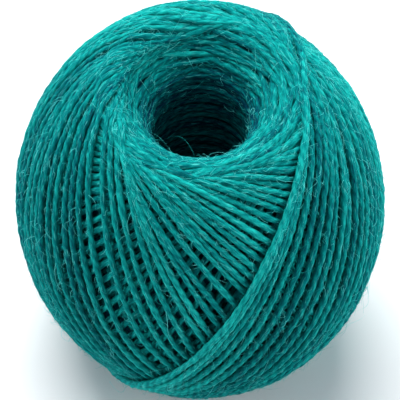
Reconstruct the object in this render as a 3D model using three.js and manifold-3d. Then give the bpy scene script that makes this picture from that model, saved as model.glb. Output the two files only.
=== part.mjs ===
// A ball of jute twine, machine wound on a round mandrel that has been drawn out.
// Millimetres, +Z up. The ball stands on one end: the origin is the middle of the
// through hole at the level of the resting face.
import * as THREE from "three";
import { mergeVertices } from "three/addons/utils/BufferGeometryUtils.js";
import Module from "manifold-3d";

const wasm = await Module();
wasm.setup();

// Driving sizes
const EQUATOR_RADIUS = 50; // over the outer turns
const POLE_REACH = 59; // half length of the egg shape that the turns lie on, before the ends dip in
const CREST_RADIUS = 28.7; // how close the last turns pass to the axis
const BORE_RADIUS = 13.3; // left by the mandrel
const STAND_HEIGHT = 48.4; // middle of the ball above the resting face
const TWINE = 2.0; // diameter of one turn

// Relief of the winding
const BUNDLES = 40; // main twists round the ball, each a pair of turns side by side
const BUNDLE_PROUD = 0.25;
const BUNDLE_VALLEY = 1.0;
const BUNDLE_UNEVEN = 0.35; // share by which one valley differs from the next
const LAYER_STEP = 0.8 * TWINE; // height of the last layer's edge over the layer under it
const RING_RELIEF = 0.35; // steps of the older layers, down the dipped ends
const BAND_HALF_WIDTH = 2.3; // the last two turns lie proud, side by side
const BAND_PROUD = 0.75; // over the higher edge of the layer beside it
const BAND_SUNK = 3; // and reaching down into it
const HALVES_OVERLAP = 1; // of the two halves, each way under the band

// Mesh steps
const COLUMNS = BUNDLES * 2;
const OUTER_ROWS = 24;
const CREST_CROWDING = 0.3; // share by which the rows are closer at the crests
const BAND_STEPS = 56;
const BAND_SIDES = 6;

// Each dipped end, from the crest of the ball inwards to the hole
const DIP = [
  { radius: 26.2, height: 48.9 },
  { radius: 23.8, height: 48.2 },
  { radius: 21.3, height: 46.0 },
  { radius: 18.8, height: 43.2 },
  { radius: 16.4, height: 40.1 },
  { radius: 14.4, height: 37.0 },
  { radius: BORE_RADIUS, height: 33.5 },
];
const BORE_HEIGHTS = [12, -12];
const DIP_TWIST = THREE.MathUtils.degToRad(7); // swirl from one row of the dip to the next

const CREST_HEIGHT = POLE_REACH * Math.sqrt(1 - (CREST_RADIUS / EQUATOR_RADIUS) ** 2);

// The plane of the last turn passes through the ball's middle, along Y, and leans out
// to the crest on the +X side. It parts the two halves that are wound opposite ways.
const LAST_TURN_LEAN = Math.atan2(CREST_RADIUS, CREST_HEIGHT);
const LAST_TURN_REACH = Math.hypot(CREST_RADIUS, CREST_HEIGHT);

// A closed surface from a grid of points that joins up with itself both ways. Lean says
// which corners of each square are joined: 1 where the rows below are shifted onwards.
function wrappedGrid(rows, columns, lean, pointAt) {
  const positions = [];
  const index = [];
  for (let row = 0; row < rows; row += 1) {
    for (let column = 0; column < columns; column += 1) {
      positions.push(...pointAt(row, column));
      const right = (column + 1) % columns;
      const below = (row + 1) % rows;
      const a = row * columns + column;
      const b = row * columns + right;
      const c = below * columns + right;
      const d = below * columns + column;
      index.push(...(lean > 0 ? [a, d, b, b, d, c] : [a, c, b, a, d, c]));
    }
  }
  const geometry = new THREE.BufferGeometry();
  geometry.setAttribute("position", new THREE.Float32BufferAttribute(positions, 3));
  geometry.setIndex(index);
  return geometry;
}

function toSolid(geometry) {
  const bare = geometry.clone();
  bare.deleteAttribute("normal");
  bare.deleteAttribute("uv");
  const merged = mergeVertices(bare, 1e-4);
  return new wasm.Manifold(
    new wasm.Mesh({
      numProp: 3,
      vertProperties: merged.attributes.position.array,
      triVerts: new Uint32Array(merged.index.array),
    }),
  );
}

function toGeometry(solid) {
  const mesh = solid.getMesh();
  const geometry = new THREE.BufferGeometry();
  geometry.setAttribute("position", new THREE.BufferAttribute(mesh.vertProperties, 3));
  geometry.setIndex(new THREE.BufferAttribute(mesh.triVerts, 1));
  const faceted = geometry.toNonIndexed();
  faceted.computeVertexNormals();
  return faceted;
}

// A number from 0 to 1 that looks random but is the same each time.
function unevenness(seed) {
  const value = Math.sin(seed * 12.9898) * 43758.5453;
  return value - Math.floor(value);
}

// The rows of the ball's outline, once round: down the outside from the top crest,
// in over the bottom crest, up the hole and out over the top again. Each row has its
// radius and height, the direction of its outward normal, how far round a turn has
// run since the top crest, and how strongly the bundles and the rings show there.
function outlineRows() {
  const rows = [];
  for (let step = 0; step <= OUTER_ROWS; step += 1) {
    const share = (Math.PI * step) / OUTER_ROWS;
    const along = share - 0.5 * CREST_CROWDING * Math.sin(2 * share);
    const height = CREST_HEIGHT * Math.cos(along);
    const radius = EQUATOR_RADIUS * Math.sqrt(1 - (height / POLE_REACH) ** 2);
    const run = Math.atan2(EQUATOR_RADIUS * Math.sin(along), CREST_RADIUS * Math.cos(along));
    const normal = new THREE.Vector2(radius / EQUATOR_RADIUS ** 2, height / POLE_REACH ** 2).normalize();
    rows.push({ radius, height, run, normal, bundles: 0.3 + 0.7 * Math.sin(along), ring: 0 });
  }
  const dipRow = (station, position, side) => ({
    radius: station.radius,
    height: side * station.height,
    run: (side > 0 ? 0 : Math.PI) - side * DIP_TWIST * (position + 1),
    normal: new THREE.Vector2(-1, side).normalize(),
    bundles: 0.15,
    ring: position % 2 ? -RING_RELIEF : RING_RELIEF,
  });
  DIP.forEach((station, position) => rows.push(dipRow(station, position, -1)));
  const twistEnd = DIP_TWIST * DIP.length;
  [...BORE_HEIGHTS].reverse().forEach((height, position) => {
    const share = (position + 1) / (BORE_HEIGHTS.length + 1);
    const run = THREE.MathUtils.lerp(Math.PI + twistEnd, 2 * Math.PI - twistEnd, share);
    rows.push({ radius: BORE_RADIUS, height, run, normal: new THREE.Vector2(-1, 0), bundles: 0.1, ring: 0 });
  });
  DIP.map((station, position) => dipRow(station, position, 1))
    .reverse()
    .forEach((row) => rows.push({ ...row, run: row.run + 2 * Math.PI }));
  return rows;
}

// The whole ball with its main twists running one way round. Hand is 1 where a turn
// runs anticlockwise as it goes down from the top crest, and -1 for the other way.
// Each half is a layer that has grown as it went round, so it is higher at one end.
function woundBall(hand) {
  const rows = outlineRows();
  return wrappedGrid(rows.length, COLUMNS, hand, (rowNumber, column) => {
    const row = rows[rowNumber];
    const azimuth = hand * row.run + (2 * Math.PI * column) / COLUMNS;
    const inValley = column % 2 === 1;
    const depth = BUNDLE_VALLEY * (1 + BUNDLE_UNEVEN * (2 * unevenness(column) - 1));
    const relief = row.bundles * (inValley ? -depth : BUNDLE_PROUD);
    const growth = 0.5 * LAYER_STEP * hand * Math.sin(azimuth) * Math.max(0, row.normal.x);
    const lift = relief + growth + row.ring;
    const radius = row.radius + lift * row.normal.x;
    const height = row.height + lift * row.normal.y;
    return [radius * Math.cos(azimuth), radius * Math.sin(azimuth), height];
  });
}

// A block that fills one side of the last turn's plane, all but a strip that the band
// covers: side 1 is the +X side.
function blockBeside(side) {
  const size = 4 * EQUATOR_RADIUS;
  const block = new THREE.BoxGeometry(size, size, size);
  block.translate(side * (size / 2 + HALVES_OVERLAP), 0, 0);
  block.rotateY(LAST_TURN_LEAN);
  return toSolid(block);
}

// The last two turns, side by side, as one flat band round the whole ball.
function lastTurns() {
  const across = new THREE.Vector3(Math.cos(LAST_TURN_LEAN), 0, -Math.sin(LAST_TURN_LEAN));
  const toCrest = new THREE.Vector3(Math.sin(LAST_TURN_LEAN), 0, Math.cos(LAST_TURN_LEAN));
  const toBack = new THREE.Vector3(0, 1, 0);
  return wrappedGrid(BAND_STEPS, BAND_SIDES, 1, (step, side) => {
    const along = (2 * Math.PI * step) / BAND_STEPS;
    const round = (2 * Math.PI * side) / BAND_SIDES;
    const outward = new THREE.Vector3()
      .addScaledVector(toCrest, Math.cos(along) / LAST_TURN_REACH)
      .addScaledVector(toBack, Math.sin(along) / EQUATOR_RADIUS)
      .normalize();
    const lift = Math.cos(round) > 0 ? 0.5 * LAYER_STEP + BAND_PROUD * Math.cos(round) : -BAND_SUNK;
    return new THREE.Vector3()
      .addScaledVector(toCrest, LAST_TURN_REACH * Math.cos(along))
      .addScaledVector(toBack, EQUATOR_RADIUS * Math.sin(along))
      .addScaledVector(outward, lift)
      .addScaledVector(across, -BAND_HALF_WIDTH * Math.sin(round))
      .toArray();
  });
}

// Everything under the resting face.
function belowTheBall() {
  const size = 4 * EQUATOR_RADIUS;
  return toSolid(new THREE.BoxGeometry(size, size, size).translate(0, 0, -STAND_HEIGHT - size / 2));
}

function twineBall() {
  const leftHalf = toSolid(woundBall(1)).subtract(blockBeside(1));
  const rightHalf = toSolid(woundBall(-1)).subtract(blockBeside(-1));
  const solid = leftHalf.add(rightHalf).add(toSolid(lastTurns())).subtract(belowTheBall());
  const material = new THREE.MeshStandardMaterial({ color: 0x128f87, roughness: 0.85, metalness: 0 });
  const ball = new THREE.Mesh(toGeometry(solid), material);
  ball.name = "ball";
  ball.position.z = STAND_HEIGHT;
  return ball;
}

const part = new THREE.Group();
part.add(twineBall());

export default part;
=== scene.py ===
"""Looks of a ball of teal two-ply jute twine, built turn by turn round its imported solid.

Sizes are in millimetres until a mesh is made, which turns them into metres.
"""

import logging
import math
from abc import ABC, abstractmethod
from dataclasses import dataclass, field
from enum import Enum
from typing import Any, NamedTuple

import bpy
import numpy as np
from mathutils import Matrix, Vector


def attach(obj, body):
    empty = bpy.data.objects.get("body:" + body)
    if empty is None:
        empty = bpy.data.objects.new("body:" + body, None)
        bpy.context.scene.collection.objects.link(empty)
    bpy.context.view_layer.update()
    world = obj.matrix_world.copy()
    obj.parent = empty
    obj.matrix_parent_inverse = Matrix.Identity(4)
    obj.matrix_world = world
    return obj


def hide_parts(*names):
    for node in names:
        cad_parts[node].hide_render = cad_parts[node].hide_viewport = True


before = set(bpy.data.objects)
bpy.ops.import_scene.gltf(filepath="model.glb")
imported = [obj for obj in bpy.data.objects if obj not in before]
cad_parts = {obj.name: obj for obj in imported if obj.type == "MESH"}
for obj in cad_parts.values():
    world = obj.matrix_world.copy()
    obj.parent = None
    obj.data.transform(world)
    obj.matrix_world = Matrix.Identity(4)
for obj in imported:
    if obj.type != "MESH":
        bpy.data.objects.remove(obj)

Array = np.ndarray
Colour = tuple[float, float, float]
Span = tuple[float, float]
# A number, a colour, a vector or a Shade
Value = Any

METRES = 0.001
CIRCLE = 2.0 * math.pi
# Numbers of a Mix node's colour sockets and colour result
MIX_FIRST = 6
MIX_SECOND = 7
MIX_RESULT = 2
NODE = "ball"
log = logging.getLogger("ball_of_twine")


def ease(value: Array) -> Array:
    """Goes from 0 to 1 as the value does, level at both ends: 3v^2 - 2v^3.

    Args:
        value: any numbers; those outside 0 to 1 are held at the ends.

    Returns:
        The eased numbers.
    """
    held = np.clip(value, 0.0, 1.0)
    return held * held * (3.0 - 2.0 * held)


def unit(vectors: Array) -> Array:
    """Vectors of the same directions and length 1."""
    return vectors / np.maximum(np.linalg.norm(vectors, axis=-1, keepdims=True), 1e-9)


@dataclass(frozen=True)
class Drift:
    """A smooth wander: size * the sum of a few sine waves of like length / half their count.

    Attributes:
        size: about how far it goes to either side.
        reach: the usual length of a wave, in the unit of the places that it is read at.
        waves: how many waves are added up.
        lengths: the shortest and the longest wave, as shares of the reach.
    """

    size: float
    reach: float
    waves: int = 5
    lengths: Span = (0.6, 1.7)

    def at(self, where: Array, seed: int) -> Array:
        """The wander at places along a line.

        Args:
            where: the places.
            seed: picks the waves.

        Returns:
            One number for each place.
        """
        rng = np.random.default_rng(seed)
        lengths = self.reach * rng.uniform(*self.lengths, self.waves)
        phases = rng.uniform(0.0, CIRCLE, self.waves)
        heights = np.sin(CIRCLE * np.asarray(where)[..., None] / lengths + phases)
        return self.size * (heights.sum(-1) / (0.5 * self.waves))


class Station(NamedTuple):
    """A place on the way down a dipped mouth; its height is over the ball's middle."""

    radius: float
    height: float


@dataclass(frozen=True)
class WoundForm:
    """The round form that the turns lie on, the same as the solid's.

    Its outline starts at the equator, goes over the top crest, down the dipped mouth
    and down the hole to its middle. The lower half is its mirror image.

    Attributes:
        equator: radius over the outer turns.
        reach: half length of the egg shape, before its ends dip in.
        crest: radius of the ring where the mouth starts to dip.
        bore: radius of the hole.
        stand: height of the ball's middle over the resting face.
        dip: the mouth, from the crest down to the hole.
        egg_points: points on the egg shape, from the equator to the crest.
        fine: length of a step of the evened outline.
        rounding: how far the outline's corners are rounded.
        rounding_steps: steps to either side that the rounding takes in.
        crest_loss: how much lower the crest is for the rounding.
    """

    equator: float = 50.0
    reach: float = 59.0
    crest: float = 28.7
    bore: float = 13.3
    stand: float = 48.4
    dip: tuple[Station, ...] = (
        Station(26.2, 48.9),
        Station(23.8, 48.2),
        Station(21.3, 46.0),
        Station(18.8, 43.2),
        Station(16.4, 40.1),
        Station(14.4, 37.0),
        Station(13.3, 33.5),
    )
    egg_points: int = 400
    fine: float = 0.25
    rounding: float = 1.6
    rounding_steps: int = 20
    crest_loss: float = 0.05
    outline: Array = field(init=False, repr=False, compare=False)

    def __post_init__(self) -> None:
        """Works the outline out once: its length so far, radius, height and normal."""
        object.__setattr__(self, "outline", self._outline())

    @property
    def crest_height(self) -> float:
        """Height of the crest over the middle: reach * sqrt(1 - (crest / equator)^2)."""
        return self.reach * math.sqrt(1.0 - (self.crest / self.equator) ** 2)

    @property
    def rounded_height(self) -> float:
        """Height of the rounded crest over the middle."""
        return self.crest_height - self.crest_loss

    @property
    def half_length(self) -> float:
        """Length of the outline from the equator to the middle of the hole."""
        return float(self.outline[0, -1])

    def _outline(self) -> Array:
        """Joins the egg shape, the dip and the hole, evens the steps out and rounds the joins.

        Returns:
            Rows of length so far, radius, height, and the normal's radial and upward part.
        """
        height = np.linspace(0.0, self.crest_height, self.egg_points)
        egg = np.stack([self.equator * np.sqrt(1.0 - (height / self.reach) ** 2), height], 1)
        corners = np.vstack([egg, np.array(self.dip), [[self.bore, 0.0]]])
        length = np.concatenate([[0.0], np.cumsum(np.linalg.norm(np.diff(corners, axis=0), axis=1))])
        even = np.arange(0.0, length[-1], self.fine)
        points = np.stack([np.interp(even, length, corners[:, i]) for i in (0, 1)], 1)
        mirror = points * (1.0, -1.0)
        spare = 2 * self.rounding_steps
        padded = np.vstack([mirror[spare:0:-1], points, mirror[-2 : -2 - spare : -1]])
        offsets = np.arange(-self.rounding_steps, self.rounding_steps + 1) * self.fine
        bell = np.exp(-0.5 * (offsets / self.rounding) ** 2)
        bell /= bell.sum()
        smooth = np.stack([np.convolve(padded[:, i], bell, "same") for i in (0, 1)], 1)
        smooth = smooth[spare:-spare]
        along = unit(np.gradient(smooth, axis=0))
        steps = np.linalg.norm(np.diff(smooth, axis=0), axis=1)
        so_far = np.concatenate([[0.0], np.cumsum(steps)])
        return np.column_stack([so_far, smooth, along[:, 1], -along[:, 0]]).T

    def along_at_height(self, height: Array) -> Array:
        """Length along the outline at a height on the outside.

        Args:
            height: heights over the middle, negative below it.

        Returns:
            Lengths from the equator, with the height's sign.
        """
        outside = int(np.argmax(self.outline[2]))
        length = np.interp(np.abs(height), self.outline[2, :outside], self.outline[0, :outside])
        return np.sign(height) * length

    def along_at_crest(self) -> float:
        """Length along the outline from the equator to the crest."""
        return float(self.along_at_height(np.array([self.rounded_height]))[0])

    def surface(self, azimuth: Array, along: Array) -> tuple[Array, Array]:
        """Points on the form and its outward normals there.

        Args:
            azimuth: angles round the axis, in radians.
            along: lengths along the outline from the equator, negative downwards.

        Returns:
            Points and unit normals, with the resting face at height 0.
        """
        side = np.where(along < 0.0, -1.0, 1.0)
        radius, height, out, up = (
            np.interp(np.abs(along), self.outline[0], row) for row in self.outline[1:]
        )
        cos, sin = np.cos(azimuth), np.sin(azimuth)
        points = np.stack([radius * cos, radius * sin, side * height + self.stand], -1)
        return points, unit(np.stack([out * cos, out * sin, side * up], -1))


def new_mesh(name: str, points: Array, loops: Array, starts: Array) -> bpy.types.Object:
    """A smooth mesh object at the origin.

    Args:
        name: the object's name.
        points: (n, 3) corners in millimetres.
        loops: corner numbers of all faces, one face after another.
        starts: where each face starts in loops.

    Returns:
        The object, linked to the scene.
    """
    mesh = bpy.data.meshes.new(name)
    mesh.vertices.add(len(points))
    mesh.vertices.foreach_set("co", (points * METRES).astype(np.float32).ravel())
    mesh.loops.add(len(loops))
    mesh.loops.foreach_set("vertex_index", loops.astype(np.int32))
    mesh.polygons.add(len(starts))
    mesh.polygons.foreach_set("loop_start", starts.astype(np.int32))
    mesh.update(calc_edges=True)
    mesh.polygons.foreach_set("use_smooth", np.ones(len(starts), bool))
    piece = bpy.data.objects.new(name, mesh)
    bpy.context.scene.collection.objects.link(piece)
    return piece


def put(piece: bpy.types.Object, name: str, kind: str, values: Array) -> None:
    """Keeps numbers on a mesh's corners for its finish.

    Args:
        piece: the object.
        name: the attribute's name.
        kind: FLOAT or FLOAT_VECTOR.
        values: one number or vector per corner, in the corners' order.
    """
    layer = piece.data.attributes.new(name, kind, "POINT")
    key = "vector" if kind == "FLOAT_VECTOR" else "value"
    layer.data.foreach_set(key, np.ascontiguousarray(values, np.float32).ravel())


@dataclass(frozen=True)
class Tubes:
    """Meshes of strands: a round or two-lobed section carried along many paths at once.

    Attributes:
        points: (paths, steps, sides, 3) corners.
        fibre: (paths, steps, sides, 3) place on the strand: across, across, along.
        tone: (paths, steps, sides) tone of each strand, with any painted shade added.
        groove: (paths, steps, sides) 1 in the groove between the plies, 0 on a ply; the finish paints
            shade there.
    """

    points: Array
    fibre: Array
    tone: Array
    groove: Array

    @staticmethod
    def carry(
        path: Array,
        normal: Array,
        radius: Array,
        section: Array,
        twist: Array,
        along: Array,
        tone: Array,
    ) -> "Tubes":
        """Carries the section along the paths.

        A corner at angle a of the section is at centre + radius * section(a) *
        (cos(a + twist) N + sin(a + twist) B). N is the normal made square to the path,
        and B is the path's direction x N.

        Args:
            path: (paths, steps, 3) centre lines.
            normal: (paths, steps, 3) directions away from the ball.
            radius: (paths, steps) strand radius.
            section: (sides,) reach of each corner as a share of the radius.
            twist: (paths, steps) angle of the plies.
            along: (paths, steps) length of twine so far.
            tone: (paths, steps) shade of the strand.

        Returns:
            The strands' corners with what the finish reads.
        """
        tangent = unit(np.gradient(path, axis=1))
        square = unit(normal - (normal * tangent).sum(-1, keepdims=True) * tangent)
        side = np.cross(tangent, square)
        corner = np.linspace(0.0, CIRCLE, len(section), endpoint=False)
        angle = corner + twist[..., None]
        cos, sin = np.cos(angle), np.sin(angle)
        spokes = cos[..., None] * square[:, :, None] + sin[..., None] * side[:, :, None]
        reach = (radius[..., None] * section)[..., None]
        fibre = np.stack([cos, sin, np.broadcast_to(along[..., None], angle.shape)], -1)
        # Mask for the painted shade in the groove between the plies.
        spread = max(float(section.max() - section.min()), 1e-6)
        groove = np.broadcast_to((section.max() - section) / spread, angle.shape)
        tone = np.broadcast_to(tone[..., None], angle.shape)
        return Tubes(path[:, :, None] + reach * spokes, fibre, tone, groove)

    def mesh(self, name: str) -> bpy.types.Object:
        """Makes one mesh of all the strands, each closed with flat ends, and none under the floor.

        Args:
            name: the piece's name.

        Returns:
            The new object, smooth, at the origin.
        """
        paths, steps, sides, _ = self.points.shape
        grid = np.arange(paths * steps * sides).reshape(paths, steps, sides)
        around = np.roll(grid, -1, axis=2)
        quads = np.stack([grid[:, :-1], around[:, :-1], around[:, 1:], grid[:, 1:]], -1).reshape(-1, 4)
        caps = np.concatenate([grid[:, 0, ::-1], grid[:, -1]])
        loops = np.concatenate([quads.ravel(), caps.ravel()])
        quad_starts = np.arange(len(quads)) * 4
        cap_starts = len(quads) * 4 + np.arange(len(caps)) * sides
        above = np.maximum(self.points.reshape(-1, 3), (-np.inf, -np.inf, 0.0))
        piece = new_mesh(name, above, loops, np.concatenate([quad_starts, cap_starts]))
        put(piece, "fibre", "FLOAT_VECTOR", self.fibre)
        put(piece, "tone", "FLOAT", self.tone)
        put(piece, "groove", "FLOAT", self.groove)
        return piece


class Strand(Enum):
    """How many sides a strand's section has."""

    SHOWN = 10
    BURIED = 6


@dataclass(frozen=True)
class Twine:
    """Two plies laid together. Its section is waist + (1 - waist) * |cos a|^lobe.

    Attributes:
        radius: over the plies.
        lay: length in which the plies go once round each other.
        waist: reach in the groove between the plies, as a share of the radius.
        lobe: how full the plies are; less is fuller.
        skipped: length of twine between one path's end and the next one's start.
        thick_and_thin: long thick and thin places, as a share of the radius.
        slubs: short ones.
        slack: how far the plies turn more or less than they should, in radians.
        dye: how the shade changes along the twine.
    """

    radius: float = 0.88
    lay: float = 7.6
    waist: float = 0.76
    lobe: float = 0.7
    skipped: float = 37.0
    thick_and_thin: Drift = Drift(0.12, 23.0)
    slubs: Drift = Drift(0.04, 6.0)
    slack: Drift = Drift(0.9, 41.0)
    dye: Drift = Drift(1.0, 260.0)

    def section(self, strand: Strand) -> Array:
        """Reach of each corner as a share of the radius."""
        corner = np.linspace(0.0, CIRCLE, strand.value, endpoint=False)
        return self.waist + (1.0 - self.waist) * np.abs(np.cos(corner)) ** self.lobe

    def lengths(self, path: Array, start: float = 0.0) -> Array:
        """Length of twine at each step of the paths, one path after another.

        Args:
            path: (paths, steps, 3) centre lines.
            start: length at the first path's start.

        Returns:
            (paths, steps) lengths.
        """
        steps = np.linalg.norm(np.diff(path, axis=1), axis=-1)
        within = np.concatenate([np.zeros((len(path), 1)), np.cumsum(steps, 1)], 1)
        before = np.concatenate([[0.0], np.cumsum(within[:-1, -1] + self.skipped)])
        return within + before[:, None] + start

    def tubes(
        self,
        path: Array,
        normal: Array,
        strand: Strand,
        seed: int,
        thick: Array | float = 1.0,
        start: float = 0.0,
        shade: Array | float = 0.0,
    ) -> Tubes:
        """Twisted strands along the paths, left-handed: the twist is -2 pi * length / lay.

        Args:
            path: (paths, steps, 3) centre lines.
            normal: (paths, steps, 3) directions away from the ball.
            strand: how fine the section is.
            seed: picks the uneven places.
            thick: thickness as a share of the usual.
            start: length of twine at the first path's start.
            shade: painted shade added to the tone; negative where it darkens the turns deep in the mouths
                and the hole.

        Returns:
            The strands.
        """
        along = self.lengths(path, start)
        uneven = 1.0 + self.thick_and_thin.at(along, seed) + self.slubs.at(along, seed + 1)
        twist = self.slack.at(along, seed + 2) - CIRCLE * along / self.lay
        # The tone is the dye's drift plus any painted shade.
        tone = self.dye.at(along, seed + 3) + shade
        radius = self.radius * uneven * thick
        return Tubes.carry(path, normal, radius, self.section(strand), twist, along, tone)


class Layer(ABC):
    """A layer of the ball, which builds its pieces and dresses them."""

    @abstractmethod
    def build(self) -> list[bpy.types.Object]:
        """Makes the layer's pieces."""

    def dress(self, finish: bpy.types.Material) -> None:
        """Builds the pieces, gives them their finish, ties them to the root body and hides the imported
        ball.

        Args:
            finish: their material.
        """
        for piece in self.build():
            piece.data.materials.append(finish)
            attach(piece, "root")
            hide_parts(NODE)
            triangles = len(piece.data.loops) - 2 * len(piece.data.polygons)
            log.info("%s: %d triangles", piece.name, triangles)


class WideStep(NamedTuple):
    """A step between two turns that stands out: its place in degrees and its share of the usual."""

    place: float
    share: float


@dataclass(frozen=True)
class Spacing:
    """Where the turns touch the top crest: the last ones close together, the rest unevenly.

    Attributes:
        turns: how many there are in one revolution.
        spread: how uneven the steps between them are, as a share of the usual step.
        limits: the least and the widest step, as shares of the usual one.
        band: degrees between the last turns.
        wide_steps: those that stand out.
    """

    turns: int = 76
    spread: float = 0.2
    limits: Span = (0.6, 1.4)
    band: tuple[float, ...] = (2.5, 2.5, 3.4)
    wide_steps: tuple[WideStep, ...] = (
        WideStep(18.0, 1.3),
        WideStep(37.0, 1.4),
        WideStep(98.0, 1.3),
        WideStep(137.0, 1.4),
        WideStep(160.5, 2.0),
        WideStep(181.0, 1.2),
        WideStep(202.0, 1.4),
        WideStep(262.0, 1.3),
        WideStep(300.0, 1.4),
    )

    def azimuths(self, seed: int) -> Array:
        """Azimuth at which each turn touches the crest.

        Args:
            seed: picks the uneven steps.

        Returns:
            Azimuths in radians for turns -1, 0, 1 and on.
        """
        rng = np.random.default_rng(seed)
        count = self.turns + 2
        step = np.clip(rng.normal(1.0, self.spread, count), *self.limits)
        places = np.arange(count) * 360.0 / self.turns
        for wide in self.wide_steps:
            step[int(np.argmin(np.abs(places - wide.place)))] = wide.share
        close = len(self.band)
        step[:close] = np.array(self.band) * self.turns / 360.0
        rest = step[close:]
        rest *= (self.turns - step[:close].sum()) / rest[: self.turns - close].sum()
        azimuth = np.concatenate([[-step[0]], [0.0], np.cumsum(step)])
        return np.radians(azimuth * 360.0 / self.turns) + np.radians(self.band[0] / 2)


@dataclass(frozen=True)
class Touches:
    """How each turn lies where it touches the top crest, row 0, and the bottom crest, row 1.

    Attributes:
        inset: how much nearer to the hole than the crest it passes.
        emerges: length from the touch to where it is half way up.
        sunk: how far it is sunk at the touch, or raised if that is negative.
    """

    inset: Array
    emerges: Array
    sunk: Array


@dataclass(frozen=True)
class CrestLie:
    """How the turns lie at the crests, where they crowd and slip under each other.

    Attributes:
        inset: how much nearer to the hole than the crest they pass.
        inset_spread: how much that differs from turn to turn.
        inset_drift: how it changes over many turns.
        inset_limits: its least and its most.
        drawn_in: how much further in the turns of the fan pass at the top.
        drawn_span: degrees between which the turns are drawn in.
        drawn_blend: degrees over which that starts and stops.
        drawn_early: share by which the drawn-in turns come up earlier.
        emerges: length from the touch to where a turn is half way up, for four turns in a row.
        emerges_spread: how much that differs from turn to turn.
        emerge_blend: length over which a turn comes up.
        sunk: how far a turn is sunk at the touch, for four turns in a row.
        sunk_spread: how much that differs from turn to turn.
        raised: how far the last turns are raised at the top.
        raised_turns: how many are.
        raised_blend: length over which a raised turn comes down.
    """

    inset: float = 0.3
    inset_spread: float = 0.4
    inset_drift: Drift = Drift(0.9, 7.0)
    inset_limits: Span = (-1.6, 3.0)
    drawn_in: float = 8.0
    drawn_span: Span = (60.0, 215.0)
    drawn_blend: float = 50.0
    drawn_early: float = 0.6
    emerges: tuple[float, ...] = (0.0, 20.0, 8.0, 20.0)
    emerges_spread: float = 3.0
    emerge_blend: float = 14.0
    sunk: tuple[float, ...] = (0.0, 0.85, 0.6, 0.85)
    sunk_spread: float = 0.15
    raised: float = 0.4
    raised_turns: int = 3
    raised_blend: float = 30.0

    def draw(self, azimuths: Array, seed: int) -> Touches:
        """Picks how each turn lies.

        Args:
            azimuths: where the turns touch the top crest, in radians.
            seed: picks what differs from turn to turn.

        Returns:
            The turns' touches, in the same order.
        """
        rng = np.random.default_rng(seed)
        turns = np.arange(len(azimuths))
        both = (2, len(azimuths))
        inset = rng.normal(self.inset, self.inset_spread, both) + self.inset_drift.at(turns, seed=6)
        inset = np.clip(inset, *self.inset_limits)
        place = np.degrees(azimuths)
        start, stop = self.drawn_span
        drawn = ease((place - start) / self.drawn_blend) * ease((stop - place) / self.drawn_blend)
        inset[0] += self.drawn_in * drawn
        emerges = np.array(self.emerges)[turns % len(self.emerges)]
        emerges = emerges + rng.uniform(-self.emerges_spread, self.emerges_spread, both)
        emerges[0] *= 1.0 - self.drawn_early * drawn
        sunk = np.array(self.sunk)[turns % len(self.sunk)]
        sunk = sunk + rng.uniform(-self.sunk_spread, self.sunk_spread, both)
        sunk[0, : self.raised_turns] = -self.raised
        return Touches(inset, emerges, sunk)

    def sinking(self, from_touch: Array, emerges: Array, sunk: Array) -> Array:
        """How deep a turn lies near its touch: sunk * (1 - how far it has come up or down).

        Args:
            from_touch: length round the crest from the touch.
            emerges: the turn's own value.
            sunk: the turn's own value.

        Returns:
            Depths, negative where it is raised.
        """
        shown = ease((from_touch - emerges) / self.emerge_blend + 0.5)
        shown = np.where(sunk < 0.0, ease(from_touch / self.raised_blend), shown)
        return sunk * (1.0 - shown)


@dataclass(frozen=True)
class Course:
    """A strand's way round and round the form, one row for each step.

    Attributes:
        turn: turns so far; the strand touches the top crest at each whole number.
        first: azimuth of the turn's touch on the top crest.
        round_by: angle round the axis from that touch, 0 to pi.
        down: whether the strand is on its way down from the top crest.
        pace: length of strand for each radian round the axis.
        along: length along the form's outline from the equator.
        points: points on the form.
        normal: outward directions there.
        sinking: how deep the strand lies for its nearest touch.
    """

    turn: Array
    first: Array
    round_by: Array
    down: Array
    pace: Array
    along: Array
    points: Array
    normal: Array
    sinking: Array


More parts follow.
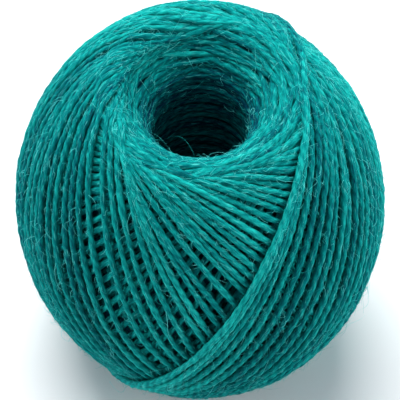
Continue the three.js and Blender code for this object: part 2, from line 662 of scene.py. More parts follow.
@dataclass
class OuterTurns(Layer):
    """One revolution of the winding: one strand in near-planar turns round the ball.

    A turn that touches the top crest at azimuth p passes the point at angle u round it:
    azimuth p + atan2(equator sin u, (crest - inset) cos u), height crest height * cos u.
    The turns step round the axis, so at every place one half of a turn crosses over
    another's. Those that touch the back and the left of the top crest are drawn in
    towards the hole. The same class makes the older layer under the last one.

    Attributes:
        name: what the pieces' names start with.
        strand: how fine the section is.
        seed: picks the uneven places.
        depth: how far under the last layer it lies.
        steps: steps in one turn.
        pieces: how many meshes the strand is cut into.
        start_tucked: share of a turn before the first touch, where the strand's end slips under.
        tuck_blend: share of a turn over which it slips under.
        tuck_depth: how far under it goes.
        under: how much deeper a covered turn lies.
        proud: how far the turns stand out of the form.
        layer_step: height of the last layer's edge over the layer under it.
        seam_blend: length to either side of a crossing over which a turn goes under.
        band_blend: azimuth behind the last turn over which the turns start to overlap.
        crest_spread: length round the crest from a touch in which turns side by side overlap.
        band_lift: how much higher the last turns lie.
        band_turns: turns from the first touch that lie that much higher.
        band_lift_blend: turns over which that fades.
        inset_fade: power of cos u that fades the inset away from the crests.
        over_mouth: how much higher a turn lies that passes inside the crest.
        ridge_dip: how much lower it lies on the crest itself.
        mouth_blend: length over which both happen.
        sway: slow wander of the touch's azimuth, in radians.
        quiver: quick wander of it.
        ripple: slow wander of the height.
        tremble: quick wander of it.
        band_thicker: how much thicker the last turns are, as a share.
        thicker_turns: how many of them are.
        thicker_blend: turns over which that fades.
        showing: cover below which fibres can stand off a turn.
    """

    form: WoundForm
    twine: Twine
    name: str = "outer_turns"
    strand: Strand = Strand.SHOWN
    seed: int = 11
    depth: float = 0.0
    steps: int = 300
    pieces: int = 3
    spacing: Spacing = Spacing()
    lie: CrestLie = CrestLie()
    start_tucked: float = 0.56
    tuck_blend: float = 0.07
    tuck_depth: float = 3.5
    under: float = 1.75
    proud: float = 0.2
    layer_step: float = 1.6
    seam_blend: float = 6.0
    band_blend: float = math.radians(6.0)
    crest_spread: float = 14.0
    band_lift: float = 0.6
    band_turns: float = 0.6
    band_lift_blend: float = 1.6
    inset_fade: int = 4
    over_mouth: float = 1.4
    ridge_dip: float = 0.7
    mouth_blend: float = 3.0
    sway: Drift = Drift(0.009, 0.9)
    quiver: Drift = Drift(0.006, 0.37)
    ripple: Drift = Drift(0.13, 0.11)
    tremble: Drift = Drift(0.06, 0.03)
    band_thicker: float = 0.1
    thicker_turns: float = 8.0
    thicker_blend: float = 16.0
    showing: float = 0.4
    path: Array = field(init=False, repr=False)
    normal: Array = field(init=False, repr=False)
    cover: Array = field(init=False, repr=False)

    def course(self) -> Course:
        """Works out where the strand runs on the form.

        Returns:
            Its course.
        """
        form = self.form
        u = CIRCLE * np.arange(-self.start_tucked, self.spacing.turns, 1.0 / self.steps)
        turn = u / CIRCLE
        azimuths = self.spacing.azimuths(self.seed)
        first = np.interp(turn, np.arange(-1.0, len(azimuths) - 1), azimuths)
        first = first + self.sway.at(turn, seed=3) + self.quiver.at(turn, seed=4)
        cos, sin = np.cos(u), np.sin(u)
        upper = cos > 0.0
        near_top = np.round(turn).astype(int) + 1
        near_bottom = np.floor(turn).astype(int) + 1
        touches = self.lie.draw(azimuths, self.seed + 1)
        inset, emerges, sunk = (
            np.where(upper, rows[0][near_top], rows[1][near_bottom])
            for rows in (touches.inset, touches.emerges, touches.sunk)
        )
        run = np.arctan2(form.equator * sin, (form.crest - inset) * cos)
        along = form.along_at_height(form.rounded_height * cos)
        along = along + np.sign(cos) * inset * np.abs(cos) ** self.inset_fade
        points, normal = form.surface(first + run, along)
        steps = np.linalg.norm(np.gradient(points, axis=0), axis=1)
        round_by = np.abs(run)
        from_touch = np.where(upper, round_by, math.pi - round_by) * form.crest
        return Course(
            turn=turn,
            first=first,
            round_by=round_by,
            down=sin >= 0.0,
            pace=steps / np.gradient(np.unwrap(run)),
            along=along,
            points=points,
            normal=normal,
            sinking=self.lie.sinking(from_touch, emerges, sunk),
        )

    def covered(self, course: Course) -> Array:
        """How far the strand lies under turns that were wound later.

        The turn that crosses it was wound later where that turn's own first azimuth is
        above 0: first + 2 round_by - a circle on the way down, first - 2 round_by on the
        way up. Near a crest each turn is half covered by those beside it.

        Args:
            course: where the strand runs.

        Returns:
            0 where it lies on top, up to 1 where it is under a whole layer.
        """
        first, round_by = course.first, course.round_by
        crossing = np.where(course.down, first + 2.0 * round_by - CIRCLE, first - 2.0 * round_by)
        crossed = ease(0.5 + 0.5 * crossing * course.pace / self.seam_blend)
        from_top = round_by * self.form.crest / self.crest_spread
        from_bottom = (math.pi - round_by) * self.form.crest / self.crest_spread
        ahead = np.where(course.down, from_bottom, from_top)
        behind = np.where(course.down, from_top, from_bottom)
        beside = ease(first / self.band_blend) * np.clip(0.5 - 0.5 * behind, 0.0, 0.5)
        return np.maximum(beside, crossed * np.clip(0.5 + 0.5 * ahead, 0.5, 1.0))

    def lift(self, course: Course, cover: Array) -> Array:
        """Height of the strand's centre line over the form.

        Each half of the ball is a layer that has grown as it went round, as on the solid:
        the left half's lies half a layer step * y / equator higher than the middle of the
        two, and the right half's as much lower.

        Args:
            course: where the strand runs.
            cover: how far it is covered.

        Returns:
            Heights along the normals.
        """
        growth = 0.5 * self.layer_step * course.points[:, 1] / self.form.equator
        growth = growth * np.clip(np.hypot(course.normal[:, 0], course.normal[:, 1]), 0.0, 1.0)
        left = np.where(course.down, 1.0 - cover, cover)
        lift = growth * (2.0 * left - 1.0) + self.proud - self.twine.radius - self.under * cover
        lift += self.band_lift * (1.0 - ease((course.turn - self.band_turns) / self.band_lift_blend))
        inside = (np.abs(course.along) - self.form.along_at_crest()) / self.mouth_blend
        lift += self.over_mouth * ease(inside) - self.ridge_dip * np.exp(-(inside**2))
        lift -= course.sinking
        lift += self.ripple.at(course.turn, seed=8) + self.tremble.at(course.turn, seed=9)
        tuck = ease((-course.turn - self.start_tucked + self.tuck_blend) / self.tuck_blend)
        return lift - self.tuck_depth * tuck

    def lay_out(self) -> None:
        """Works out the strand's centre line, the way out from the ball, and its cover."""
        course = self.course()
        self.cover = self.covered(course)
        lift = self.lift(course, self.cover)
        self.path = course.points + (lift - self.depth)[:, None] * course.normal
        self.normal = course.normal

    def roots(self) -> Array:
        """Where fibres can stand off the turns that show.

        Returns:
            (count, 3, 3) points, directions of the strand and directions away from the ball.
        """
        tangent = unit(self.path[2:] - self.path[:-2])
        rows = np.stack([self.path[1:-1], tangent, self.normal[1:-1]], 1)
        return rows[self.cover[1:-1] < self.showing]

    def build(self) -> list[bpy.types.Object]:
        """Makes the strand, cut into pieces where the cuts are hidden under the ball.

        Returns:
            The pieces, last turns first.
        """
        total = len(self.path)
        turns = self.spacing.turns
        bottom = int(round(self.start_tucked * self.steps)) + self.steps // 2
        inner = [bottom + self.steps * round(k * turns / self.pieces) for k in range(1, self.pieces)]
        cuts = [0, *inner, total - 1]
        fade = ease((np.arange(total) / self.steps - self.thicker_turns) / self.thicker_blend)
        thick = 1.0 + self.band_thicker * (1.0 - fade)
        length = 0.0
        made = []
        for number, (low, high) in enumerate(zip(cuts, cuts[1:]), 1):
            path, normal, wide = (rows[None, low : high + 1] for rows in (self.path, self.normal, thick))
            tubes = self.twine.tubes(path, normal, self.strand, seed=21, thick=wide, start=length)
            length += float(self.twine.lengths(path)[0, -1])
            made.append(tubes.mesh(f"{self.name}_{number}"))
        return made


@dataclass
class MouthTurns(Layer):
    """Older turns that show down the dipped mouths, in arcs that slip under the later ones.

    At length l from its middle an arc is at azimuth p + l / radius, and l^2 / (2 bend)
    nearer to the crest along the outline, less slope * l.

    Attributes:
        start: length along the outline from the crest to the first ring of arcs.
        depth: length along the outline from the crest to the last ring.
        pitch: from one ring to the next.
        outermost: how far outside the crest an arc may reach.
        side_by_side: length of ring for each arc.
        fewest: arcs in the smallest ring.
        half_length: of an arc.
        step: length of a step along an arc.
        bend: radius of an arc's bend towards the crest.
        slope: the usual slope of an arc, and how much it differs.
        stagger: share of a gap by which one ring's arcs start after the last one's.
        place_spread: how unevenly the arcs are placed, as a share of a circle.
        ring_spread: how far an arc lies from its ring.
        level_spread: how far up or down an arc lies.
        under_crest: how much lower the arcs at the crest lie.
        under_blend: length from the crest over which that fades.
        tip_rise: how much an arc's far end is raised and its near end lowered.
        tip_dip: how far both ends slip under, once smoothly and once more at the very end.
        thick: thickness as a share of the usual.
        inmost_painted_shade: painted shade on the inmost turns, darkest nearest the hole.
        painted_shade_radius: radius inside which the painted shade darkens the turns.
        painted_shade_blend: radius over which the painted shade comes in.
    """

    form: WoundForm
    twine: Twine
    start: float = 1.6
    depth: float = 29.0
    pitch: float = 1.4
    outermost: float = 1.0
    side_by_side: float = 10.0
    fewest: int = 6
    half_length: float = 14.0
    step: float = 1.4
    bend: float = 26.0
    slope: Span = (0.03, 0.05)
    stagger: float = 0.37
    place_spread: float = 0.03
    ring_spread: float = 0.45
    level_spread: float = 0.35
    under_crest: float = 1.1
    under_blend: float = 5.0
    tip_rise: float = 0.35
    tip_dip: float = 1.5
    thick: float = 1.08
    inmost_painted_shade: float = -2.9
    painted_shade_radius: float = 17.6
    painted_shade_blend: float = 4.0
    mouths: list[tuple[Array, Array]] = field(default_factory=list, repr=False)

    def paths(self, seed: int) -> tuple[Array, Array]:
        """Centre lines and outward directions of one mouth's turns, for the top.

        Args:
            seed: picks the uneven places.

        Returns:
            (paths, steps, 3) points with the resting face at height 0, and directions.
        """
        form = self.form
        rng = np.random.default_rng(seed)
        crest = form.along_at_crest()
        rings = np.arange(crest + self.start, crest + self.depth, self.pitch)
        radius = np.interp(rings, form.outline[0], form.outline[1])
        count = np.maximum(np.round(CIRCLE * radius / self.side_by_side).astype(int), self.fewest)
        ring = np.repeat(np.arange(len(rings)), count)
        arcs = len(ring)
        place = np.concatenate([(np.arange(n) + self.stagger * k) / n for k, n in enumerate(count)])
        place = place + rng.normal(0.0, self.place_spread, arcs)
        length = np.arange(-self.half_length, self.half_length + 1e-6, self.step)
        slope = rng.normal(*self.slope, arcs)[:, None]
        middle = (rings[ring] + rng.normal(0.0, self.ring_spread, arcs))[:, None]
        along = middle - length**2 / (2.0 * self.bend) + slope * length
        along = np.maximum(along, crest - self.outermost)
        azimuth = CIRCLE * place[:, None] + length / radius[ring][:, None]
        points, normal = form.surface(azimuth, along)
        deep = ease((rings[ring][:, None] - crest) / self.under_blend)
        level = rng.uniform(-self.level_spread, self.level_spread, arcs)[:, None]
        level = level - self.under_crest * (1.0 - deep)
        share = length / self.half_length
        lift = level - self.twine.radius + self.tip_rise * share
        lift = lift - self.tip_dip * share**2 - self.tip_dip * share**6
        return points + lift[..., None] * normal, normal

    def lay_out(self) -> None:
        """Works out both mouths' arcs; the bottom mouth's are turned over."""
        stand = np.array([0.0, 0.0, self.form.stand])
        for side, seed in ((1.0, 31), (-1.0, 32)):
            path, normal = self.paths(seed)
            flip = np.array([1.0, 1.0, side])
            self.mouths.append(((path - stand) * flip + stand, normal * flip))

    def roots(self) -> Array:
        """Where fibres can stand off the arcs, in the middle third of each.

        Returns:
            (count, 3, 3) points, directions of the arc and directions away from the ball.
        """
        found = []
        for path, normal in self.mouths:
            third = path.shape[1] // 3
            tangent = unit(np.gradient(path, axis=1))
            rows = np.stack([path, tangent, normal], 2)
            found.append(rows[:, third : 2 * path.shape[1] // 3].reshape(-1, 3, 3))
        return np.concatenate(found)

    def build(self) -> list[bpy.types.Object]:
        """Makes the turns of the top mouth and of the bottom mouth.

        Returns:
            The two pieces.
        """
        made = []
        for name, (path, normal) in zip(("top_mouth_turns", "bottom_mouth_turns"), self.mouths):
            radius = np.hypot(path[..., 0], path[..., 1])
            # Painted shade: the turns get darker towards the hole.
            shade = self.inmost_painted_shade * ease((self.painted_shade_radius - radius) / self.painted_shade_blend)
            tubes = self.twine.tubes(
                path, normal, Strand.BURIED, seed=31, thick=self.thick, shade=shade
            )
            made.append(tubes.mesh(name))
        return made


@dataclass
class HoleTurns(Layer):
    """The first turns, coiled on the mandrel: a helix that lines the hole.

    Attributes:
        pitch: rise in one turn.
        reach: half height of the coil.
        step: length of a step along the coil.
        coil_painted_shade: painted shade on the coil that lines the hole.
        uneven_rise: wander of the height.
        tilt: how far the turns tip up to one side.
        tilt_phase: angle that says to which side, in radians.
        uneven_width: wander of the radius.
        narrower: how far the coil stands into the hole.
        flare: how much wider the coil is at its ends.
        flare_from: height from the middle at which it starts to widen.
        flare_blend: height over which it does.
    """

    form: WoundForm
    twine: Twine
    pitch: float = 1.95
    reach: float = 35.5
    step: float = 1.35
    coil_painted_shade: float = -1.8
    uneven_rise: Drift = Drift(0.5, 1.13)
    tilt: float = 0.6
    tilt_phase: float = 0.5
    uneven_width: Drift = Drift(0.3, 0.61)
    narrower: float = 0.2
    flare: float = 0.9
    flare_from: float = 31.0
    flare_blend: float = 6.0

    def build(self) -> list[bpy.types.Object]:
        """Makes the coil: radius + wander, height rising by the pitch each turn.

        Returns:
            The one piece.
        """
        radius = self.form.bore + self.twine.radius
        turns = 2.0 * self.reach / self.pitch
        angle = np.arange(0.0, CIRCLE * turns, self.step / radius)
        turn = angle / CIRCLE
        height = -self.reach + self.pitch * turn
        height = height + self.uneven_rise.at(turn, seed=51)
        height = height + self.tilt * np.sin(angle + self.tilt_phase)
        wide = radius + self.uneven_width.at(turn, seed=52) - self.narrower
        wide = wide + self.flare * ease((np.abs(height) - self.flare_from) / self.flare_blend)
        cos, sin = np.cos(angle), np.sin(angle)
        path = np.stack([wide * cos, wide * sin, height + self.form.stand], -1)
        normal = np.stack([-cos, -sin, np.zeros_like(cos)], -1)
        # Painted shade: the coil in the hole is darkened.
        tubes = self.twine.tubes(path[None], normal[None], Strand.BURIED, seed=53, shade=self.coil_painted_shade)
        return [tubes.mesh("hole_turns")]


@dataclass
class BuriedLayers(Layer):
    """Everything under the turns that show, as one closed form a little smaller all over.

    Attributes:
        columns: faces round the axis.
        rows: faces along the outline.
        outside: how far inside the form it lies on the outside of the ball.
        in_hole: the same, in the mouths and the hole.
        before_crest: length before the crest at which the one starts to turn into the other.
        blend: length over which it does.
    """

    form: WoundForm
    columns: int = 96
    rows: int = 100
    outside: float = 6.2
    in_hole: float = 1.7
    before_crest: float = 4.0
    blend: float = 8.0

    def build(self) -> list[bpy.types.Object]:
        """Makes the form: the outline moved inwards and turned round the axis.

        Returns:
            The one piece.
        """
        form = self.form
        along = np.linspace(-form.half_length, form.half_length, self.rows, endpoint=False)
        around = np.linspace(0.0, CIRCLE, self.columns, endpoint=False)
        azimuth, along = np.meshgrid(around, along)
        into = ease((np.abs(along) - form.along_at_crest() + self.before_crest) / self.blend)
        inset = self.outside + into * (self.in_hole - self.outside)
        points, normal = form.surface(azimuth, along)
        points = points - inset[..., None] * normal
        grid = np.arange(self.rows * self.columns).reshape(self.rows, self.columns)
        right, below = np.roll(grid, -1, axis=1), np.roll(grid, -1, axis=0)
        quads = np.stack([grid, right, np.roll(right, -1, axis=0), below], -1)
        starts = np.arange(grid.size) * 4
        return [new_mesh("buried_layers", points.reshape(-1, 3), quads.ravel(), starts)]


@dataclass(frozen=True)
class Tuft:
    """One kind of loose fibre: how many, how long, in how many straight parts, and their seed."""

    name: str
    count: int
    lengths: Span
    segments: int
    seed: int


@dataclass
class StrayFibres(Layer):
    """Loose jute fibres that stand off the turns: p + l T + rise N + curl B, thinning to a tip.

    Roots are (count, 3, 3): a point on a turn's centre line, its direction, and the way out.

    Attributes:
        kinds: the kinds of fibre.
        thick: radius of a fibre at its root.
        thin: share of that lost at its tip.
        uneven: its least and its most, as shares of the usual.
        root: reach of the root from a turn's centre, as a share of its radius.
        sunk: how far the root reaches in from there.
        shorter: shares of its length that a fibre may have.
        tilt: how far to either side of a turn it stands, in radians.
        sway: how far it leans to the side as it goes.
        outward: square root of the most that it leans out as it goes.
        rise: height of its bow, as a share of its length.
        rise_bend: how much of a sine wave the bow is, in radians.
        curl: how far it curls to the side, as a share of its length.
        curl_bend: how much of a sine wave the curl is, in radians.
    """

    twine: Twine
    roots: Array
    kinds: tuple[Tuft, ...] = (
        Tuft("short_fibres", 9200, (1.0, 3.6), 3, 71),
        Tuft("long_fibres", 450, (4.0, 11.0), 8, 72),
    )
    thick: float = 0.045
    thin: float = 0.7
    uneven: Span = (0.7, 1.4)
    root: float = 0.9
    sunk: float = 0.25
    shorter: Span = (0.6, 1.0)
    tilt: float = 1.1
    sway: float = 0.6
    outward: float = 0.9
    rise: Span = (0.04, 0.3)
    rise_bend: Span = (1.4, 3.4)
    curl: float = 0.16
    curl_bend: Span = (2.0, 7.0)

    def tufts(self, kind: Tuft) -> Tubes:
        """Fibres of one kind, rooted all over the turns that show.

        Args:
            kind: which.

        Returns:
            The fibres.
        """
        rng = np.random.default_rng(kind.seed)
        count = kind.count

        def chance(low: float, high: float) -> Array:
            """One even draw for each fibre."""
            return rng.uniform(low, high, count)[:, None]

        def swing(size: float) -> Array:
            """One draw for each fibre, most of them near 0."""
            return rng.normal(0.0, size, count)[:, None]

        centre, tangent, normal = np.moveaxis(self.roots[rng.choice(len(self.roots), count)], 1, 0)
        side = np.cross(tangent, normal)
        tilt = chance(-self.tilt, self.tilt)
        out = np.cos(tilt) * normal + np.sin(tilt) * side
        base = centre + out * self.twine.radius * self.root
        length = chance(*kind.lengths) * chance(*self.shorter)
        share = np.broadcast_to(np.linspace(0.0, 1.0, kind.segments + 1), (count, kind.segments + 1))
        ahead = rng.choice([-1.0, 1.0], count)[:, None] * tangent
        way = unit(ahead + swing(self.sway) * side + chance(0.0, self.outward) ** 2 * out)
        rise = chance(*self.rise) * length * np.sin(share * chance(*self.rise_bend))
        curl = swing(self.curl) * length * np.sin(share * chance(*self.curl_bend))
        path = (
            base[:, None]
            + (share * length)[..., None] * way[:, None]
            + rise[..., None] * out[:, None]
            + curl[..., None] * np.cross(way, out)[:, None]
        )
        path[:, 0] -= self.sunk * out
        radius = self.thick * (1.0 - self.thin * share) * chance(*self.uneven)
        tone = np.broadcast_to(chance(-1.0, 1.0), radius.shape)
        spread = np.broadcast_to(out[:, None], path.shape)
        untwisted = np.zeros_like(radius)
        return Tubes.carry(path, spread, radius, np.ones(3), untwisted, share * length, tone)

    def build(self) -> list[bpy.types.Object]:
        """Makes the short and the long fibres.

        Returns:
            The two pieces.
        """
        return [self.tufts(kind).mesh(kind.name) for kind in self.kinds]


class Shade:
    """A value in a material's nodes; sums on it add the nodes that work them out."""

    def __init__(self, bench: "Bench", socket: bpy.types.NodeSocket) -> None:
        """Keeps the value's socket and the bench that it is on."""
        self.bench = bench
        self.socket = socket

    def _math(self, operation: str, first: Value, second: Value) -> "Shade":
        """Adds a Math node for one sum."""
        return self.bench.node("ShaderNodeMath", {"operation": operation}, {0: first, 1: second})

    def __add__(self, other: Value) -> "Shade":
        """This value plus another."""
        return self._math("ADD", self, other)

    __radd__ = __add__

    def __sub__(self, other: Value) -> "Shade":
        """This value less another."""
        return self._math("SUBTRACT", self, other)

    def __rsub__(self, other: Value) -> "Shade":
        """Another value less this one."""
        return self._math("SUBTRACT", other, self)

    def __mul__(self, other: Value) -> "Shade":
        """This value times another."""
        return self._math("MULTIPLY", self, other)

    __rmul__ = __mul__

    def held(self) -> "Shade":
        """This value held between 0 and 1."""
        return self.bench.node("ShaderNodeClamp", {}, {"Value": self, "Min": 0.0, "Max": 1.0})


class Bench:
    """A material and the one way that nodes are added to it."""

    def __init__(self, name: str) -> None:
        """Starts a material with nothing but its output.

        Args:
            name: the material's name.
        """
        self.material = bpy.data.materials.new(name)
        self.material.use_nodes = True
        self.tree = self.material.node_tree
        self.tree.nodes.clear()
        self.output = self.tree.nodes.new("ShaderNodeOutputMaterial")

    def node(
        self,
        kind: str,
        settings: dict[str, Any],
        sockets: dict[str | int, Value],
        result: str | int = 0,
    ) -> Shade:
        """Adds a node.

        Args:
            kind: the node's type.
            settings: its own settings; "stops" are a ramp's (place, colour) pairs.
            sockets: values or other nodes' results, by socket name or number.
            result: the output to hand back.

        Returns:
            That output.
        """
        made = self.tree.nodes.new(kind)
        for name, value in settings.items():
            if name == "stops":
                self._stops(made.color_ramp, value)
            else:
                setattr(made, name, value)
        for name, value in sockets.items():
            if isinstance(value, Shade):
                self.tree.links.new(value.socket, made.inputs[name])
            else:
                made.inputs[name].default_value = value
        return Shade(self, made.outputs[result])

    @staticmethod
    def _stops(ramp: bpy.types.ColorRamp, stops: tuple[tuple[float, Colour], ...]) -> None:
        """Sets a ramp's stops, making those that it lacks.

        Args:
            ramp: the ramp.
            stops: (place, colour) pairs.
        """
        while len(ramp.elements) < len(stops):
            ramp.elements.new(1.0)
        for element, (place, colour) in zip(ramp.elements, stops):
            element.position = place
            element.color = (*colour, 1.0)

    def kept(self, name: str, result: str = "Fac") -> Shade:
        """A number, or with result "Vector" a vector, that the mesh keeps on its corners."""
        return self.node("ShaderNodeAttribute", {"attribute_name": name}, {}, result)

    def between(self, share: Shade, first: Shade | Colour, second: Colour) -> Shade:
        """A colour that goes from the first to the second as the share goes from 0 to 1.

        Args:
            share: how far.
            first: the colour at 0.
            second: the colour at 1.

        Returns:
            The colour.
        """
        low = first if isinstance(first, Shade) else (*first, 1.0)
        sockets = {"Factor": share, MIX_FIRST: low, MIX_SECOND: (*second, 1.0)}
        return self.node("ShaderNodeMix", {"data_type": "RGBA"}, sockets, MIX_RESULT)

    def finish(self, sockets: dict[str | int, Value]) -> bpy.types.Material:
        """Ends the material with its surface.

        Args:
            sockets: the Principled surface's values or links, by socket name.

        Returns:
            The material.
        """
        surface = self.node("ShaderNodeBsdfPrincipled", {}, sockets)
        self.tree.links.new(surface.socket, self.output.inputs["Surface"])
        return self.material


@dataclass(frozen=True)
class StrandNoise:
    """Noise drawn out along a strand, about 0.5.

    Attributes:
        across: waves per unit across the strand.
        along: waves per millimetre along it.
        detail: the noise's detail.
        roughness: the noise's roughness.
    """

    across: float
    along: float
    detail: float
    roughness: float = 0.6

    def shade(self, bench: Bench, place: Shade) -> Shade:
        """The noise at a place on the strand.

        Args:
            bench: where the nodes go.
            place: the place: across, across, along.

        Returns:
            The noise.
        """
        stretch = (self.across, self.across, self.along)
        scaled = bench.node("ShaderNodeVectorMath", {"operation": "MULTIPLY"}, {0: place, 1: stretch})
        sockets = {"Vector": scaled, "Scale": 1.0, "Detail": self.detail, "Roughness": self.roughness}
        return bench.node("ShaderNodeTexNoise", {}, sockets)


@dataclass(frozen=True)
class DyedJute:
    """Dyed two-ply jute: fine fibres along the strand, with painted shade in the groove between the plies.

    The dye is fine_share * fine + broad_share * broad + tone_share * tone - groove_painted_shade * groove
    - darkening, read on a ramp of three colours, with straw-pale flecks over it. The groove term is
      painted shade, and the
    tone carries painted shade deep in the mouths and the hole.

    Attributes:
        stops: where on the ramp the deep, the middle and the pale colour are.
        fleck_from: noise above which there are flecks.
        fleck_slope: how quickly they start.
        fleck_most: how far they go to the straw colour.
        shine: strength of the surface's sheen.
        fibre_height: height of the fibres' relief, in metres.
        fibre_relief: strength of that relief.
        broad_relief: share of the broad noise in it.
    """

    name: str = "dyed_jute"
    deep: Colour = (0.0, 0.034, 0.064)
    middle: Colour = (0.0, 0.215, 0.207)
    pale: Colour = (0.012, 0.54, 0.475)
    straw: Colour = (0.13, 0.72, 0.66)
    stops: tuple[float, float, float] = (0.18, 0.5, 0.86)
    fine: StrandNoise = StrandNoise(3.4, 0.62, 3.0)
    broad: StrandNoise = StrandNoise(1.0, 0.13, 2.0)
    flecks: StrandNoise = StrandNoise(2.4, 0.3, 1.0)
    fine_share: float = 0.85
    broad_share: float = 0.4
    tone_share: float = 0.09
    groove_painted_shade: float = 0.13
    darkening: float = 0.06
    fleck_from: float = 0.64
    fleck_slope: float = 8.0
    fleck_most: float = 0.6
    roughness: float = 0.7
    shine: float = 0.03
    fibre_height: float = 0.00022
    fibre_relief: float = 0.9
    broad_relief: float = 0.6

    def material(self) -> bpy.types.Material:
        """The finish, from the strand's own fibre, tone and groove numbers.

        Returns:
            The material.
        """
        bench = Bench(self.name)
        place = bench.kept("fibre", "Vector")
        fine, broad, flecks = (noise.shade(bench, place) for noise in (self.fine, self.broad, self.flecks))
        dye = fine * self.fine_share + broad * self.broad_share + bench.kept("tone") * self.tone_share
        # Painted shade: darker in the groove between the plies and, through the tone, deep in the mouths
        # and the hole.
        dye = dye - bench.kept("groove") * self.groove_painted_shade - self.darkening
        ramp = tuple(zip(self.stops, (self.deep, self.middle, self.pale)))
        colour = bench.node("ShaderNodeValToRGB", {"stops": ramp}, {"Fac": dye.held()})
        fleck = ((flecks - self.fleck_from) * self.fleck_slope).held() * self.fleck_most
        relief = fine + broad * self.broad_relief
        sockets = {"Strength": self.fibre_relief, "Distance": self.fibre_height, "Height": relief}
        return bench.finish(
            {
                "Base Color": bench.between(fleck, colour, self.straw),
                "Roughness": self.roughness,
                "Specular IOR Level": self.shine,
                "Normal": bench.node("ShaderNodeBump", {}, sockets),
            }
        )


@dataclass(frozen=True)
class LooseFibre:
    """A single loose fibre, thinly dyed, so paler than the twine.

    Attributes:
        usual: how far the usual fibre is from the dark to the pale colour.
        tone_share: how much that differs with the fibre's tone.
        shine: strength of the surface's sheen.
    """

    name: str = "loose_fibre"
    dark: Colour = (0.01, 0.45, 0.43)
    pale: Colour = (0.16, 0.9, 0.86)
    usual: float = 0.4
    tone_share: float = 0.5
    roughness: float = 0.6
    shine: float = 0.1

    def material(self) -> bpy.types.Material:
        """The finish, paler on some fibres than on others.

        Returns:
            The material.
        """
        bench = Bench(self.name)
        share = (bench.kept("tone") * self.tone_share + self.usual).held()
        colour = bench.between(share, self.dark, self.pale)
        return bench.finish(
            {"Base Color": colour, "Roughness": self.roughness, "Specular IOR Level": self.shine}
        )


@dataclass(frozen=True)
class PaintedShadeLayers:
    """The layers between the turns, in painted shade: dark, with a hint of strands.

    Attributes:
        scale: waves of the hint in a metre.
        detail: the noise's detail.
        relief: strength of its relief.
        height: height of its relief, in metres.
        shine: strength of the surface's sheen.
    """

    name: str = "deep_layers_painted_shade"
    # Painted shade: the buried layers are coloured dark and bluish, as if in shade.
    dark: Colour = (0.0, 0.032, 0.064)
    less_dark: Colour = (0.0, 0.085, 0.13)
    scale: float = 700.0
    detail: float = 3.0
    relief: float = 0.6
    height: float = 0.0004
    roughness: float = 0.9
    shine: float = 0.05

    def material(self) -> bpy.types.Material:
        """The painted shade finish, from noise on object coordinates.

        Returns:
            The material.
        """
        bench = Bench(self.name)
        place = bench.node("ShaderNodeTexCoord", {}, {}, "Object")
        sockets = {"Vector": place, "Scale": self.scale, "Detail": self.detail}
        noise = bench.node("ShaderNodeTexNoise", {}, sockets)
        sockets = {"Strength": self.relief, "Distance": self.height, "Height": noise}
        return bench.finish(
            {
                "Base Color": bench.between(noise, self.dark, self.less_dark),
                "Roughness": self.roughness,
                "Specular IOR Level": self.shine,
                "Normal": bench.node("ShaderNodeBump", {}, sockets),
            }
        )


@dataclass(frozen=True)
class Lamp:
    """A square soft light aimed at the ball: its place and side in metres, and its power."""

    name: str
    place: tuple[float, float, float]
    side: float
    watts: float

    def hang(self, aim: Vector) -> None:
        """Adds the light to the scene.

        Args:
            aim: where it points, in metres.
        """
        data = bpy.data.lights.new(self.name, "AREA")
        data.size = self.side
        data.energy = self.watts
        lamp = bpy.data.objects.new(self.name, data)
        bpy.context.scene.collection.objects.link(lamp)
        lamp.location = self.place
        lamp.rotation_euler = (aim - Vector(self.place)).to_track_quat("-Z", "Y").to_euler()


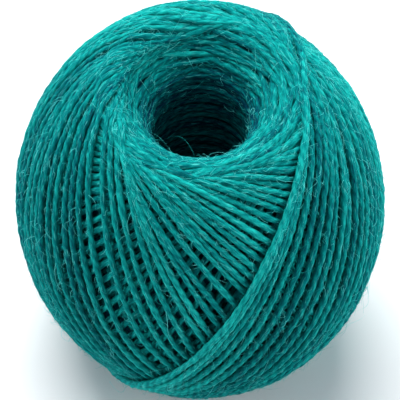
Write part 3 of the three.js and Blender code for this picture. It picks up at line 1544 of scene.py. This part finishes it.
@dataclass
class Studio:
    """A pale floor, soft lights and the camera, from above the front. Its lengths are in metres.

    Attributes:
        elevation: the camera's angle above the horizon, in degrees.
        distance: from the camera to where it aims.
        frame_width: width of the picture at that distance.
        aim_above: how far over the ball's middle the camera aims.
        film: width of the camera's film, in millimetres.
        farthest: how far the camera sees.
        floor_half: half the floor's side, in millimetres.
        floor_gap: how far the floor is under the resting face, in millimetres.
        sky: colour of the light from all round.
        sky_strength: how strong that is.
    """

    form: WoundForm
    elevation: float = 53.0
    distance: float = 1.4
    frame_width: float = 0.1086
    aim_above: float = 0.00017
    film: float = 36.0
    farthest: float = 20.0
    floor_half: float = 4000.0
    floor_gap: float = 0.05
    floor_colour: Colour = (0.86, 0.87, 0.87)
    floor_roughness: float = 0.7
    sky: Colour = (0.85, 0.97, 1.18)
    sky_strength: float = 0.25
    lamps: tuple[Lamp, ...] = (
        Lamp("overhead", (-0.15, 0.62, 1.05), 1.1, 28.0),
        Lamp("right_fill", (1.15, -0.2, 0.36), 0.8, 12.0),
        Lamp("left_fill", (-1.15, -0.1, 0.45), 0.8, 7.6),
    )

    @property
    def middle(self) -> Vector:
        """The ball's middle."""
        return Vector((0.0, 0.0, self.form.stand * METRES))

    def floor(self) -> None:
        """A wide pale floor just under the ball."""
        corners = np.array([(-1, -1), (1, -1), (1, 1), (-1, 1)]) * self.floor_half
        points = np.column_stack([corners, np.full(4, -self.floor_gap)])
        floor = new_mesh("floor", points, np.arange(4), np.array([0]))
        sockets = {"Base Color": (*self.floor_colour, 1.0), "Roughness": self.floor_roughness}
        floor.data.materials.append(Bench("pale_floor").finish(sockets))

    def camera(self) -> None:
        """A long lens at the photograph's angle, sized so that the ball fills the frame as there."""
        data = bpy.data.cameras.new("camera")
        data.sensor_width = self.film
        data.lens = self.film * self.distance / self.frame_width
        data.clip_end = self.farthest
        camera = bpy.data.objects.new("camera", data)
        bpy.context.scene.collection.objects.link(camera)
        tilt = math.radians(self.elevation)
        away = Vector((0.0, -math.cos(tilt), math.sin(tilt)))
        camera.location = self.middle + Vector((0.0, 0.0, self.aim_above)) + away * self.distance
        camera.rotation_euler = (math.pi / 2 - tilt, 0.0, 0.0)
        bpy.context.scene.camera = camera

    def build(self) -> None:
        """Sets up the floor, the lights, the sky and the camera."""
        self.floor()
        for lamp in self.lamps:
            lamp.hang(self.middle)
        world = bpy.data.worlds.new("studio")
        bpy.context.scene.world = world
        world.use_nodes = True
        background = world.node_tree.nodes["Background"]
        background.inputs["Color"].default_value = (*self.sky, 1.0)
        background.inputs["Strength"].default_value = self.sky_strength
        bpy.context.scene.view_settings.view_transform = "Standard"
        self.camera()


def main() -> None:
    """Builds the ball's layers in order, then the studio."""
    logging.basicConfig(level=logging.INFO, format="%(message)s")
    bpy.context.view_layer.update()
    form = WoundForm()
    twine = Twine()
    jute = DyedJute().material()
    fibre = LooseFibre().material()
    outer = OuterTurns(form, twine)
    older = OuterTurns(
        form, twine, name="older_turns", strand=Strand.BURIED, seed=17, depth=2.8, steps=166, pieces=1
    )
    mouths = MouthTurns(form, twine)
    for layer in (outer, older, mouths):
        layer.lay_out()
        layer.dress(jute)
    HoleTurns(form, twine).dress(jute)
    BuriedLayers(form).dress(PaintedShadeLayers().material())
    StrayFibres(twine, np.concatenate([outer.roots(), mouths.roots()])).dress(fibre)
    Studio(form).build()


if __name__ == "__main__":
    main()
